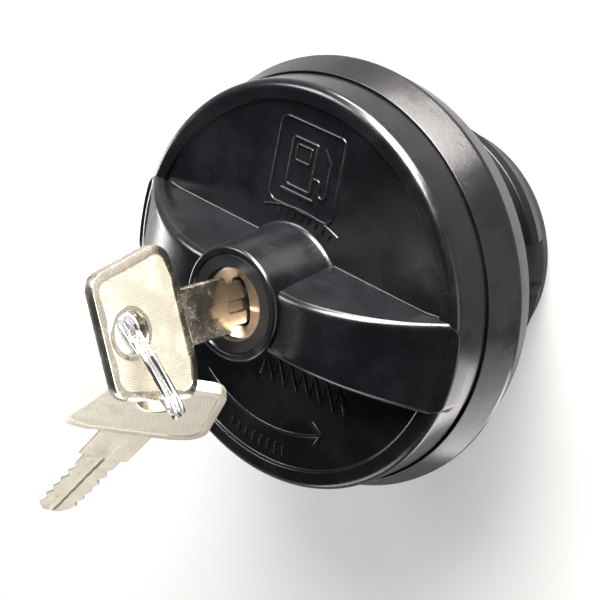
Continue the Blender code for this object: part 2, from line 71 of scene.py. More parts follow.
MM = 0.001
ROUND_STEPS = 192  # sides of a large turned piece
SMALL_STEPS = 96  # sides of a small turned piece
PLUG_STEPS = 144
BEZEL_STEPS = 256
ARC_STEPS = 6  # faces in a rounded edge
WALL_STEPS = 8  # faces in a rounded edge of the knob
LEAD = (0.3, 0.2)  # straight piece beside an arc: share of its radius, and the longest
MERGE = 1e-7  # points closer than this, in metres, become one
SHARP = math.radians(38)  # steeper edges are shaded as edges

# Knob
FACE_Z = 52.5
PLATE_Z = 49.5
FACE_R = 35.1  # the flat face reaches out to this radius
RIM_ROUNDING = 3.3
SKIRT_FOOT_Z = 43.3
SKIRT_BORE_R = 37.0
SLEEVE_R = (33.8, 35.3)
SLEEVE_FOOT_Z = 34.6
HOOK_R = 32.5  # the hook at the sleeve's foot reaches in to this radius
HOOK_TOP_Z = 35.8
SINK = 0.03  # how far the edge of a boss or wing is sunk under the face, so that no gap shows
BOSS_BORE_R = 9.5
BOSS_CORE_R = 10.4  # the wings start inside the boss's wall, at this radius
BOSS_LIP = 1.3  # how far the lip stands above the boss's height
BOSS_ROUNDING = 1.9
BOSS_FLARE = 0.9  # how much wider the boss is at its foot
BOSS_FILLET = 1.1

# Handle
WING_ROOT_X = 4.0
WING_INNER_X = 9.8
WING_ROOT_Z = 67.2
WING_FALL = 15.5
WING_SPAN = 28.6
WING_CURVE = 2.1
WING_END_Z = 52.7
WING_EASE = 0.3  # how softly the top settles at the end's height
WING_END_DROP = 2.2  # how far the end wall reaches down over the rim's rounding
WING_CORNER = 2.6
WING_BULGE_X = 28.0  # the end's bow towards the rim fades out at this distance
WING_HALF_TOP = 5.95
WING_HALF_BASE = 8.3
WING_FLARE = 2.6  # how much wider the top's half width is at its end
WING_FLARE_X = 11.0
WING_FLARE_SPAN = 24.0
WING_FLARE_CURVE = 1.4
WING_RIDGE = 2.6  # radius of the ridge between top and flank
WING_RIDGE_LOSS = 1.7  # how much smaller that radius is at the end
WING_FOOT = 0.3  # how far the end wall leans out at its foot
WING_FILLET = 0.45

# Moulded signs
BEAD_ROOT = 0.25  # how deep a bead is rooted in the face
BEAD_POWER = 0.7  # below 1, a bead is squarer than an ellipse
PUMP_AT = (-0.8, 23.4)
SIGN_ARC_Y = -8.5  # centre of the arc and ticks above the boss
ARROW_R = 28.4
ARROW_TURN = (238, 300)

# Neck
LUGS = 3  # with a slot between each two
SLOT_MIDDLES = [math.radians(15 + 360 / LUGS * i) for i in range(LUGS)]
SLOT_HALF = math.asin(4.5 / 27.0)  # half a slot's angle: 9 mm wide at a radius of 27 mm
SLOT_SIDE = 0.012  # angle that a slot's side wall takes up
SLOT_Z = (6.5, 14.5)
SLOT_FLOOR = 0.8  # how far a slot's floor stands out of the neck

# Lock
PLUG_R = 7.75
PLUG_TOP_Z = 66.6
PLUG_GROOVE_Z = (42.5, 43.5)
PLUG_GROOVE_R = 6.7
DISH_R = 6.3
DISH_EDGE = 0.25  # how far the dish's edge lies under the plug's rim
DISH_DEPTH = 1.75
KEY_TURN = math.radians(115.5)
KEYWAY_HALF = 4.5
KEYWAY_HALF_THICK = 1.4
KEYWAY_FLOOR_Z = 44.0
KEYWAY_POWER = 6.0  # the higher, the squarer the keyway's corners
BUSH_R = (8.05, 9.2)
BUSH_FOOT_Z = 43.8
BUSH_FLANGE_R = 11.5
BUSH_FLANGE_Z = (47.0, 49.2)
BUSH_LIP_R = 6.7
BUSH_LIP_Z = (66.9, 68.0)

# Keys and ring; a key's own axes are X across, Y towards the bow's end, Z through it
KEY_SHOULDER_Z = 80.3
SPARE_AT = (-8.81, -26.8, 80.27)
SPARE_TURN = tuple(math.radians(a) for a in (13.14, 59.19, -23.66))
RING_AT = (0.54, -7.96, 86.93)
RING_NORMAL = (-0.343, -0.551, 0.761)
BOW_LENGTH = 19.6
BOW_SHOULDER = 8.2
BOW_WIDE = (13.7, 4.2)
BOW_END = 11.3
BOW_CORNER = 3.6
BOW_SKEW = 0.09  # how much the bow leans to one side, mm along for each mm across
KEY_HOLE_Y = 13.3
SHANK_HALF = 5.15
SHANK_LENGTH = 10.8
BLADE_HALF = 4.0
BLADE_END = 36.0
CUTS = 5
CUT_PITCH = 3.6
CUT_DEPTH = 0.8
SHANK_SHARE = 0.86  # thickness of the shank, as a share of the bow's
BLADE_SHARE = 0.84
GROOVE_DEPTH = 0.42
GROOVE_X = (-1.7, -1.35, 0.35, 0.7)  # a groove's left edge, its floor from and to, right edge
KEY_BEVEL = 0.22
BOW_RIM = 1.6
PANEL_SINK = 0.13
RING_STEPS = 96  # steps in one turn of the split ring
RING_PITCH = 1.4  # how far apart the split ring's two turns lie
RING_STEP_OVER = 18  # steps that the wire takes to cross from one turn to the other

# Camera, which looks from the front and right of the knob
CAMERA_AT = (0.1731, 0.1214, 0.2800)
CAMERA_RIGHT = (0.737, 0.184, -0.650)
CAMERA_BACK = (0.549, 0.396, 0.736)
LENS = 100.0

# Each light: the way to it from the aim, its distance, size, power and colour
AIM = (0, 0, 0.05)
LIGHTS = (
    ("key_light", (0.08, 0.88, 0.44), 0.62, (0.36, 0.56), 90.0, (1.0, 0.955, 0.91)),
    ("side_light", (0.90, 0.44, 0.08), 0.80, (0.40, 0.16), 0.6, (0.97, 0.99, 1.0)),
    ("back_light", (-0.60, 0.45, 0.66), 0.90, (0.30, 0.30), 13.0, (0.97, 0.99, 1.0)),
    ("low_light", (0.0, 0.99, -0.12), 0.21, (0.20, 0.048), 2.4, (1.0, 0.93, 0.90)),
    ("left_light", (-0.91, -0.40, 0.0), 0.55, (0.35, 0.14), 2.6, (1.0, 1.0, 1.0)),
    ("right_light", (0.98, -0.16, 0.0), 0.50, (0.48, 0.12), 1.8, (1.0, 0.98, 0.97)),
    ("front_light", (0.05, -0.93, 0.30), 0.50, (0.30, 0.14), 1.6, (1.0, 1.0, 1.0)),
)
FLOOR_LIGHT_AT = (0.100, -0.068, 0.001)


class CapSizes(PropertyGroup):
    """Sizes of the cap that can be changed."""

    rim_radius: FloatProperty(
        name="Rim radius", description="Radius of the knob where its rim turns into the skirt",
        default=0.0389, unit="LENGTH", subtype="DISTANCE")
    skirt_radius: FloatProperty(
        name="Skirt radius", description="Radius of the foot of the knob's skirt",
        default=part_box("knob_shell")[1].x, unit="LENGTH", subtype="DISTANCE")
    boss_radius: FloatProperty(
        name="Boss radius", description="Radius of the boss round the lock",
        default=0.0111, unit="LENGTH", subtype="DISTANCE")
    boss_top: FloatProperty(
        name="Boss height", description="Height of the boss without its lip, from the neck's end",
        default=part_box("knob_shell")[1].z, unit="LENGTH", subtype="DISTANCE")
    wing_reach: FloatProperty(
        name="Wing reach", description="How far the handle's wings reach from the axis",
        default=0.0394, unit="LENGTH", subtype="DISTANCE")
    relief_height: FloatProperty(
        name="Relief height", description="How far the moulded signs stand out of the face",
        default=0.00032, unit="LENGTH", subtype="DISTANCE")
    bezel_radius: FloatProperty(
        name="Bezel radius", description="Radius of the bezel's widest edge",
        default=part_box("bezel_ring")[1].x, unit="LENGTH", subtype="DISTANCE")
    neck_radius: FloatProperty(
        name="Neck radius", description="Radius of the neck between gasket and lugs",
        default=0.0248, unit="LENGTH", subtype="DISTANCE")
    lug_radius: FloatProperty(
        name="Lug radius", description="Radius of the neck's three lugs",
        default=0.0283, unit="LENGTH", subtype="DISTANCE")
    key_thickness: FloatProperty(
        name="Key thickness", description="Thickness of both keys at the bow",
        default=0.0022, unit="LENGTH", subtype="DISTANCE")
    key_hole_radius: FloatProperty(
        name="Key hole radius", description="Radius of the hole in a key's bow",
        default=0.0037, unit="LENGTH", subtype="DISTANCE")
    ring_radius: FloatProperty(
        name="Ring radius", description="Radius of the split ring, to the middle of its wire",
        default=0.0094, unit="LENGTH", subtype="DISTANCE")
    ring_wire: FloatProperty(
        name="Ring wire", description="Half the thickness of the split ring's wire",
        default=0.0006, unit="LENGTH", subtype="DISTANCE")
    floor_half: FloatProperty(
        name="Floor half width", description="Half the width of the floor",
        default=2.5, unit="LENGTH", subtype="DISTANCE")


def colour_property(name, description, default):
    """A colour that can be changed in the sidebar."""
    return FloatVectorProperty(
        name=name, description=description, default=default, size=3, subtype="COLOR",
        min=0.0, max=1.0)


class CapColours(PropertyGroup):
    """Base colours of the cap's finishes."""

    black_plastic: colour_property(
        "Black plastic", "Knob, bezel and neck", (0.0006, 0.0007, 0.0009))
    back_plastic: colour_property(
        "Back plastic", "Pieces behind the knob and round the lock", (0.0014, 0.0014, 0.0016))
    acetal: colour_property("Acetal", "Ratchet and valves", (0.70, 0.69, 0.63))
    rubber: colour_property("Rubber", "Gasket and seal", (0.006, 0.006, 0.006))
    steel: colour_property("Steel", "Springs, screws, clips and clutch", (0.55, 0.56, 0.58))
    brass: colour_property("Brass", "Lock plug and wafers", (0.36, 0.275, 0.215))
    nickel_silver: colour_property("Nickel silver", "Keys", (0.50, 0.465, 0.385))
    chrome: colour_property("Chrome", "Split ring", (0.86, 0.86, 0.87))
    floor: colour_property("Floor", "Floor under the cap", (0.085, 0.085, 0.085))


# Mesh making


def unit(vectors):
    """Vectors of length one along the last axis."""
    return vectors / np.maximum(np.linalg.norm(vectors, axis=-1, keepdims=True), 1e-12)


def corner_arc(before, corner, after, radius, steps=ARC_STEPS):
    """Arcs that round corners, as an array (steps + 1, corners, 2).

    The arc touches both sides at radius / tan(half the corner's angle), and its points are
    centre + (sin((1-t)a) start + sin(ta) end) / sin(a) for t from 0 to 1."""
    u, v = unit(before - corner), unit(after - corner)
    half = 0.5 * np.arccos(np.clip((u * v).sum(-1), -0.99999, 0.99999))
    room = 0.47 * np.minimum(
        np.linalg.norm(before - corner, axis=-1), np.linalg.norm(after - corner, axis=-1))
    reach = np.minimum(radius / np.tan(half), room)
    radius = reach * np.tan(half)
    centre = corner + unit(u + v) * (radius / np.sin(half))[..., None]
    start = corner + u * reach[..., None] - centre
    end = corner + v * reach[..., None] - centre
    turn = math.pi - 2 * half
    t = np.linspace(0, 1, steps + 1).reshape(-1, *([1] * turn.ndim))
    first, last = np.sin((1 - t) * turn), np.sin(t * turn)
    return centre + (first[..., None] * start + last[..., None] * end) / np.sin(turn)[..., None]


def rounded(corners, closed=True, steps=ARC_STEPS):
    """A path through corners (x, y, radius), each rounded by an arc of that radius.

    A short straight piece is kept on both sides of an arc, so that flat sides shade flat."""
    corners = np.array(corners, float)
    points, radii = corners[:, :2], corners[:, 2]
    before, after = np.roll(points, 1, 0), np.roll(points, -1, 0)
    path = []
    for i, radius in enumerate(radii):
        if radius == 0 or (not closed and i in (0, len(radii) - 1)):
            path.append(points[i][None])
            continue
        arc = corner_arc(before[i][None], points[i][None], after[i][None], radius, steps)[:, 0]
        lead = min(LEAD[0] * radius, LEAD[1])
        into = arc[0] + unit(before[i] - points[i]) * lead
        out = arc[-1] + unit(after[i] - points[i]) * lead
        path.append(np.vstack([into[None], arc, out[None]]))
    return np.vstack(path)


def surface(points, wrap_rows=False, wrap_columns=False, slot=0):
    """A grid of points (rows, columns, 3) as (points, faces, slot), wrapped where it closes."""
    rows, columns = points.shape[:2]
    i = np.arange(rows if wrap_rows else rows - 1)[:, None]
    j = np.arange(columns if wrap_columns else columns - 1)[None, :]
    below, right = (i + 1) % rows, (j + 1) % columns
    faces = np.stack(
        [i * columns + j, i * columns + right, below * columns + right, below * columns + j], -1)
    return points.reshape(-1, 3), faces.reshape(-1, 4), slot


def fan(ring, slot=0):
    """Triangles from the middle of a closed ring of points to its edge."""
    count = len(ring)
    i = np.arange(count)
    faces = np.stack([i, (i + 1) % count, np.full(count, count)], -1)
    return np.vstack([ring, ring.mean(0)[None]]), faces, slot


def tube(points, slot=0):
    """A grid that closes round its columns, with its first and last row capped by a fan."""
    return [
        surface(points, wrap_columns=True, slot=slot), fan(points[0], slot), fan(points[-1], slot)]


def turned(path, steps=ROUND_STEPS, angles=None):
    """A path of (radius, z) turned round Z: x = r cos a, y = r sin a."""
    a = np.linspace(0, math.tau, steps, endpoint=False) if angles is None else angles
    r = path[:, 0][:, None]
    z = np.repeat(path[:, 1][:, None], len(a), 1)
    return np.stack([r * np.cos(a), r * np.sin(a), z], -1)


def swept(path, section, closed=False):
    """A section (m, 2) carried along a path (n, 3): point + section x side + section y up.

    Side is across the path and level, and up completes it."""
    ahead = np.roll(path, -1, 0) - np.roll(path, 1, 0)
    if not closed:
        ahead[0], ahead[-1] = path[1] - path[0], path[-1] - path[-2]
    ahead = unit(ahead)
    side = unit(np.cross(ahead, (0.0, 0.0, 1.0)))
    up = np.cross(side, ahead)
    x, y = section[:, 0][None, :, None], section[:, 1][None, :, None]
    return path[:, None] + side[:, None] * x + up[:, None] * y


def make_piece(name, surfaces, body, finishes, replaces=(), place=None):
    """Joins surfaces into one mesh object, merges its seams, points its faces outwards, and
    puts it on its body. place is a 4 x 4 matrix in millimetres, applied to the points."""
    points, faces, slots, start = [], [], [], 0
    for pts, quads, index in surfaces:
        points.append(pts)
        faces += (quads + start).tolist()
        slots.append(np.full(len(quads), index))
        start += len(pts)
    points = np.vstack(points)
    mesh = bpy.data.meshes.new(name)
    placed = points if place is None else points @ place[:3, :3].T + place[:3, 3]
    mesh.from_pydata((placed * MM).tolist(), [], faces)
    mesh.polygons.foreach_set("material_index", np.concatenate(slots).astype(np.int32))
    bm = bmesh.new()
    bm.from_mesh(mesh)
    bmesh.ops.remove_doubles(bm, verts=bm.verts, dist=MERGE)
    bmesh.ops.dissolve_degenerate(bm, edges=bm.edges, dist=MERGE)
    bmesh.ops.recalc_face_normals(bm, faces=bm.faces)
    bm.to_mesh(mesh)
    bm.free()
    mesh.polygons.foreach_set("use_smooth", np.ones(len(mesh.polygons), bool))
    mesh.set_sharp_from_angle(angle=SHARP)
    obj = bpy.data.objects.new(name, mesh)
    bpy.context.scene.collection.objects.link(obj)
    for finish in finishes:
        mesh.materials.append(finish)
    if place is not None:
        lay_flat_map(mesh, place)
    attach(obj, body)
    if replaces:
        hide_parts(*replaces)
    return obj


def lay_flat_map(mesh, place):
    """A UV map that holds the piece's own X and Y in centimetres, before it was placed."""
    points = np.empty(len(mesh.vertices) * 3)
    mesh.vertices.foreach_get("co", points)
    own = (points.reshape(-1, 3) / MM - place[:3, 3]) @ place[:3, :3]
    corners = np.empty(len(mesh.loops), np.int32)
    mesh.loops.foreach_get("vertex_index", corners)
    layer = mesh.uv_layers.new(name="flat")
    layer.data.foreach_set("uv", (own[corners][:, :2] * 0.1).ravel())


# Node tools


class Nodes:
    """Short ways to add and join the nodes of one tree."""

    def __init__(self, tree):
        self.tree = tree
        tree.nodes.clear()

    def add(self, kind, values=None, **settings):
        node = self.tree.nodes.new(kind)
        for key, value in settings.items():
            setattr(node, key, value)
        for key, value in (values or {}).items():
            if isinstance(value, bpy.types.NodeSocket):
                self.tree.links.new(value, node.inputs[key])
            else:
                node.inputs[key].default_value = value
        return node

    def maths(self, operation, a, b=0.0, c=0.0):
        return self.add("ShaderNodeMath", {0: a, 1: b, 2: c}, operation=operation).outputs[0]

    def ramp(self, value, low, high, to_low=0.0, to_high=1.0):
        node = self.add("ShaderNodeMapRange", {
            "Value": value, "From Min": low, "From Max": high, "To Min": to_low,
            "To Max": to_high}, interpolation_type="SMOOTHSTEP")
        return node.outputs["Result"]

    def mix(self, share, a, b):
        node = self.add("ShaderNodeMix", data_type="RGBA")
        for index, value in ((0, share), (6, a), (7, b)):
            if isinstance(value, bpy.types.NodeSocket):
                self.tree.links.new(value, node.inputs[index])
            else:
                node.inputs[index].default_value = value
        return node.outputs[2]

    def noise(self, coordinates, scale, detail=2.0, roughness=0.5):
        return self.add("ShaderNodeTexNoise", {
            "Vector": coordinates, "Scale": scale, "Detail": detail,
            "Roughness": roughness}).outputs[0]


def new_group(name, inputs, outputs):
    """A node group with inputs (name, type, default) and outputs (name, type)."""
    tree = bpy.data.node_groups.new(name, "ShaderNodeTree")
    for label, kind, default in inputs:
        socket = tree.interface.new_socket(label, in_out="INPUT", socket_type=kind)
        if default is not None:
            socket.default_value = default
    for label, kind in outputs:
        tree.interface.new_socket(label, in_out="OUTPUT", socket_type=kind)
    nodes = Nodes(tree)
    return tree, nodes, nodes.add("NodeGroupInput"), nodes.add("NodeGroupOutput")


FLOAT, VECTOR = "NodeSocketFloat", "NodeSocketVector"


def moulded_grain_group():
    """Grain of moulded plastic: fine spark-eroded pits, softer mottling and light smears.

    Height is 0.6 fine noise + 0.4 mottling, Smear is a broad noise, and Dust is the top
    part of a middle noise, as pale specks."""
    tree, nodes, given, out = new_group(
        "moulded_grain",
        [("Vector", VECTOR, None), ("Pit Size", FLOAT, 2600.0), ("Mottle Size", FLOAT, 620.0)],
        [("Height", FLOAT), ("Smear", FLOAT), ("Dust", FLOAT)])
    place = given.outputs["Vector"]
    fine = nodes.noise(place, given.outputs["Pit Size"], detail=3.0, roughness=0.6)
    mottle = nodes.noise(place, given.outputs["Mottle Size"], detail=3.0, roughness=0.55)
    smear = nodes.noise(place, scale=62.0, detail=4.0, roughness=0.6)
    specks = nodes.noise(place, scale=1450.0, detail=1.0, roughness=0.4)
    height = nodes.maths("ADD", nodes.maths("MULTIPLY", fine, 0.6),
                         nodes.maths("MULTIPLY", mottle, 0.4))
    for name, value in (
        ("Height", height),
        ("Smear", nodes.ramp(smear, 0.35, 0.68)),
        ("Dust", nodes.ramp(specks, 0.72, 0.8)),
    ):
        tree.links.new(value, out.inputs[name])
    return tree


def worn_metal_group():
    """Wear of handled metal: crossed hair scratches, stains and a light orange peel.

    Scratch is the ridge of two noises that are stretched 30 to 1 at an angle to each other,
    Stain is a broad noise, and Height joins the scratches and the peel."""
    tree, nodes, given, out = new_group(
        "worn_metal",
        [("Vector", VECTOR, None), ("Scratch Size", FLOAT, 1.0), ("Peel Size", FLOAT, 900.0)],
        [("Height", FLOAT), ("Scratch", FLOAT), ("Stain", FLOAT)])
    place = given.outputs["Vector"]
    lines = []
    for turn, stretch in (((0.2, 0.5, 0.7), (120.0, 3800.0, 1500.0)),
                          ((1.1, 0.3, 2.1), (3300.0, 110.0, 1300.0))):
        mapping = nodes.add(
            "ShaderNodeMapping", {"Vector": place, "Rotation": turn, "Scale": stretch})
        noise = nodes.noise(mapping.outputs[0], given.outputs["Scratch Size"], roughness=0.6)
        lines.append(nodes.ramp(noise, 0.56, 0.72))
    scratch = nodes.maths("MAXIMUM", *lines)
    peel = nodes.noise(place, given.outputs["Peel Size"])
    height = nodes.maths("SUBTRACT", peel, nodes.maths("MULTIPLY", scratch, 0.7))
    stain = nodes.ramp(nodes.noise(place, scale=210.0, detail=4.0, roughness=0.62), 0.38, 0.7)
    for name, value in (("Height", height), ("Scratch", scratch), ("Stain", stain)):
        tree.links.new(value, out.inputs[name])
    return tree


def shared_group(name):
    """The node group of that name, made the first time it is asked for."""
    makers = {"moulded_grain": moulded_grain_group, "worn_metal": worn_metal_group}
    return bpy.data.node_groups.get(name) or makers[name]()


def tint(colour, factor):
    """A colour times a factor, held at 1, with full alpha."""
    return (*(min(c * factor, 1.0) for c in colour), 1.0)


def start_finish(name, shader_values):
    """A material with a Principled shader joined to its output, and object coordinates."""
    material = bpy.data.materials.new(name)
    material.use_nodes = True
    nodes = Nodes(material.node_tree)
    shader = nodes.add("ShaderNodeBsdfPrincipled", shader_values)
    output = nodes.add("ShaderNodeOutputMaterial")
    material.node_tree.links.new(shader.outputs[0], output.inputs[0])
    place = nodes.add("ShaderNodeTexCoord").outputs["Object"]
    return material, nodes, shader, place


def join(nodes, shader, **values):
    """Links values to the shader's sockets. An underscore stands for a space in a name."""
    for key, value in values.items():
        nodes.tree.links.new(value, shader.inputs[key.replace("_", " ")])


def bump(nodes, height, depth, **more):
    """The normal of a bump of that depth, in metres."""
    values = {"Height": height, "Distance": depth, **more}
    return nodes.add("ShaderNodeBump", values).outputs[0]


def moulded_finish(name, colour, roughness, depth, pit=2600.0, mottle=620.0, lift=1.9,
                   shine=0.2):
    """Moulded plastic: near even colour, paler where smeared or dusty, with a fine grain."""
    material, nodes, shader, place = start_finish(name, {"Specular IOR Level": shine})
    grain = nodes.add("ShaderNodeGroup", node_tree=shared_group("moulded_grain"))
    nodes.tree.links.new(place, grain.inputs["Vector"])
    grain.inputs["Pit Size"].default_value = pit
    grain.inputs["Mottle Size"].default_value = mottle
    smear, dust = grain.outputs["Smear"], grain.outputs["Dust"]
    base = nodes.mix(smear, tint(colour, 1.0), tint(colour, lift))
    base = nodes.mix(nodes.maths("MULTIPLY", dust, 0.25), base, tint(colour, lift * 4))
    rough = nodes.ramp(smear, 0.0, 1.0, roughness - 0.04, roughness + 0.06)
    join(nodes, shader, Base_Color=base, Roughness=rough,
         Normal=bump(nodes, grain.outputs["Height"], depth))
    return material


def start_metal(name, colour, roughness, depth, scratch=1.0, peel=900.0, stained=0.8):
    """The start of a handled metal: stains darken and dull it, scratches brighten and roughen
    it. Its base colour and its normal are left to be joined."""
    material, nodes, shader, place = start_finish(name, {"Metallic": 1.0})
    worn = nodes.add("ShaderNodeGroup", node_tree=shared_group("worn_metal"))
    nodes.tree.links.new(place, worn.inputs["Vector"])
    worn.inputs["Scratch Size"].default_value = scratch
    worn.inputs["Peel Size"].default_value = peel
    stain, scratches = worn.outputs["Stain"], worn.outputs["Scratch"]
    base = nodes.mix(stain, tint(colour, 1.0), tint(colour, stained))
    base = nodes.mix(nodes.maths("MULTIPLY", scratches, 0.4), base, tint(colour, 1.12))
    rough = nodes.maths("ADD", nodes.ramp(stain, 0, 1, roughness, roughness + 0.1),
                        nodes.maths("MULTIPLY", scratches, 0.08))
    join(nodes, shader, Roughness=rough)
    return material, nodes, shader, base, bump(nodes, worn.outputs["Height"], depth)


def metal_finish(name, colour, roughness, depth, **wear):
    """Handled metal, worn smooth."""
    material, nodes, shader, base, normal = start_metal(name, colour, roughness, depth, **wear)
    join(nodes, shader, Base_Color=base, Normal=normal)
    return material


def hatched_finish(name, colour, roughness, depth, hatch_depth=0.00004, scale=7.5):
    """Pressed nickel silver: two crossed sets of fine lines, (1 + sin) / 2 of X and Y on the
    piece's flat map, over the wear of handled metal."""
    material, nodes, shader, base, normal = start_metal(name, colour, roughness, depth)
    flat = nodes.add("ShaderNodeUVMap", uv_map="flat").outputs[0]
    lines = []
    for turn in (0.35, -0.5):
        mapping = nodes.add("ShaderNodeMapping", {"Vector": flat, "Rotation": (0, 0, turn)})
        lines.append(nodes.add(
            "ShaderNodeTexWave", {"Vector": mapping.outputs[0], "Scale": scale},
            wave_type="BANDS", bands_direction="X").outputs[1])
    hatch = nodes.maths("MULTIPLY", nodes.maths("ADD", *lines), 0.5)
    deep = bump(nodes, hatch, hatch_depth, Strength=0.9, Normal=normal)
    # Painted shade: where the hatch is low, in the grooves of its lines, the colour is darkened to
    # 0.6 of itself
    darker = nodes.mix(nodes.ramp(hatch, 0.1, 0.75), tint(colour, 0.6), base)
    join(nodes, shader, Base_Color=darker, Normal=deep)
    return material


def floor_finish(name, colour, glow):
    """Matt pale floor that gives light of its own, more of it as seen than as mirrored."""
    material, nodes, shader, place = start_finish(name, {
        "Roughness": 0.9, "Specular IOR Level": 0.0, "Emission Strength": 1.0})
    cloud = nodes.ramp(nodes.noise(place, scale=3.0, detail=3.0), 0.3, 0.7)
    base = nodes.mix(cloud, tint(colour, 0.98), tint(colour, 1.0))
    seen = nodes.add("ShaderNodeLightPath").outputs["Is Camera Ray"]
    shine = nodes.mix(seen, tint(colour, 1.0), tint(colour, glow))
    join(nodes, shader, Base_Color=base, Emission_Color=shine)
    return material


# Each finish: its maker, the colour it starts from, and its values
FINISHES = {
    "black_plastic": (moulded_finish, "black_plastic",
                      dict(roughness=0.25, depth=0.00003, pit=1700.0, mottle=520.0)),
    "neck_plastic": (moulded_finish, "black_plastic",
                     dict(roughness=0.34, depth=0.00003, shine=0.1)),
    "back_plastic": (moulded_finish, "back_plastic", dict(roughness=0.44, depth=0.00002)),
    "acetal": (moulded_finish, "acetal", dict(roughness=0.45, depth=0.00001, lift=0.9)),
    "rubber": (moulded_finish, "rubber",
               dict(roughness=0.72, depth=0.00003, pit=1800.0, mottle=400.0, lift=1.6)),
    "steel": (metal_finish, "steel", dict(roughness=0.28, depth=0.000004)),
    "brass": (metal_finish, "brass",
              dict(roughness=0.28, depth=0.000004, scratch=0.8, peel=500.0, stained=0.7)),
    "nickel_silver": (metal_finish, "nickel_silver",
                      dict(roughness=0.17, depth=0.000006, peel=700.0, stained=0.9)),
    "satin_nickel": (metal_finish, "nickel_silver",
                     dict(roughness=0.4, depth=0.00001, peel=700.0, stained=0.92)),
    "hatched_nickel": (hatched_finish, "nickel_silver", dict(roughness=0.42, depth=0.00002)),
    "chrome": (metal_finish, "chrome",
               dict(roughness=0.06, depth=0.0000015, scratch=1.2, peel=600.0, stained=0.93)),
    "floor": (floor_finish, "floor", dict(glow=5.0)),
}


def finish(context, name):
    """The material of that name, made the first time it is asked for. A plain material that
    came with the frame gives its name up."""
    material = bpy.data.materials.get(name)
    if material and material.get("cap_finish"):
        return material
    if material:
        material.name = name + "_plain"
    maker, colour, values = FINISHES[name]
    material = maker(name, getattr(context.scene.cap_colours, colour), **values)
    material["cap_finish"] = True
    return material


# Knob


def knob_body(sizes):
    """The knob's face, rim, skirt and sleeve, as one turned wall."""
    rim, skirt = sizes.rim_radius / MM, sizes.skirt_radius / MM
    hole = BOSS_BORE_R + 0.1
    inner, outer = SLEEVE_R
    wall = rounded([
        (hole, PLATE_Z, 0), (hole, FACE_Z, 0), (FACE_R, FACE_Z, 0.35),
        (FACE_R + 0.25, FACE_Z + 0.75, 0.3), (rim, FACE_Z + 0.7, RIM_ROUNDING),
        (skirt, SKIRT_FOOT_Z, 0.35), (SKIRT_BORE_R, SKIRT_FOOT_Z, 0.3),
        (SKIRT_BORE_R, PLATE_Z, 0), (outer, PLATE_Z, 0), (outer, SLEEVE_FOOT_Z, 0.3),
        (HOOK_R, SLEEVE_FOOT_Z, 0.2), (HOOK_R, HOOK_TOP_Z, 0), (inner, HOOK_TOP_Z, 0),
        (inner, PLATE_Z, 0)], steps=WALL_STEPS)
    return surface(turned(wall), wrap_rows=True, wrap_columns=True)


def boss_body(sizes):
    """The boss round the lock, turned, with a rounded front edge and a fillet at its root."""
    radius, lip = sizes.boss_radius / MM, sizes.boss_top / MM + BOSS_LIP
    bore, root = BOSS_BORE_R - 0.4, PLATE_Z + 0.6
    wall = rounded([
        (bore, root, 0), (bore, lip - 0.6, 0.2), (bore + 0.3, lip, 0.15),
        (radius - 0.4, lip - 0.1, BOSS_ROUNDING), (radius + BOSS_FLARE, FACE_Z, BOSS_FILLET),
        (radius + 3.0, FACE_Z - SINK, 0), (radius + 2.0, root, 0)], steps=WALL_STEPS)
    return surface(turned(wall), wrap_rows=True, wrap_columns=True)


def wing_top(x):
    """Height of a wing's top: it starts at WING_ROOT_Z and falls by WING_FALL x the share of
    the span to the power WING_CURVE, and settles softly at the end's height."""
    share = np.clip((x - WING_INNER_X) / WING_SPAN, 0, 1.3)
    above = WING_ROOT_Z - WING_FALL * share**WING_CURVE - WING_END_Z
    return WING_END_Z + np.log1p(np.exp(above / WING_EASE)) * WING_EASE


def wing_half_width(x):
    """Half width of a wing's top, which grows with a power of the way out."""
    share = np.clip((x - WING_FLARE_X) / WING_FLARE_SPAN, 0, 1.1)
    return WING_HALF_TOP + WING_FLARE * share**WING_FLARE_CURVE


def wing_outline(reach):
    """The edge of a wing's top in plan, (points, outward normals), from the boss out along
    one side, round the end's two corners and back. The end follows the knob's rim: x falls by
    y squared / (2 x reach)."""
    turn_x = reach - WING_CORNER
    x = np.concatenate([np.linspace(WING_ROOT_X, 12, 10), np.linspace(12.6, turn_x, 44)])
    side = np.stack([x, wing_half_width(x)], -1)
    wide = wing_half_width(turn_x) - WING_CORNER
    turn = np.linspace(math.pi / 2, 0, 12)[1:]
    corner = np.stack([turn_x + WING_CORNER * np.cos(turn), wide + WING_CORNER * np.sin(turn)], -1)
    end = np.stack([np.full(9, reach), np.linspace(wide, 0, 10)[1:]], -1)
    half = np.vstack([side, corner, end])
    path = np.vstack([half, half[-2::-1] * (1, -1)])
    bulge = np.clip((path[:, 0] - WING_BULGE_X) / (reach - WING_BULGE_X), 0, 1) ** 2
    path[:, 0] -= bulge * path[:, 1] ** 2 / (2 * reach)
    along = np.gradient(path, axis=0)
    return path, unit(np.stack([-along[:, 1], along[:, 0]], -1))


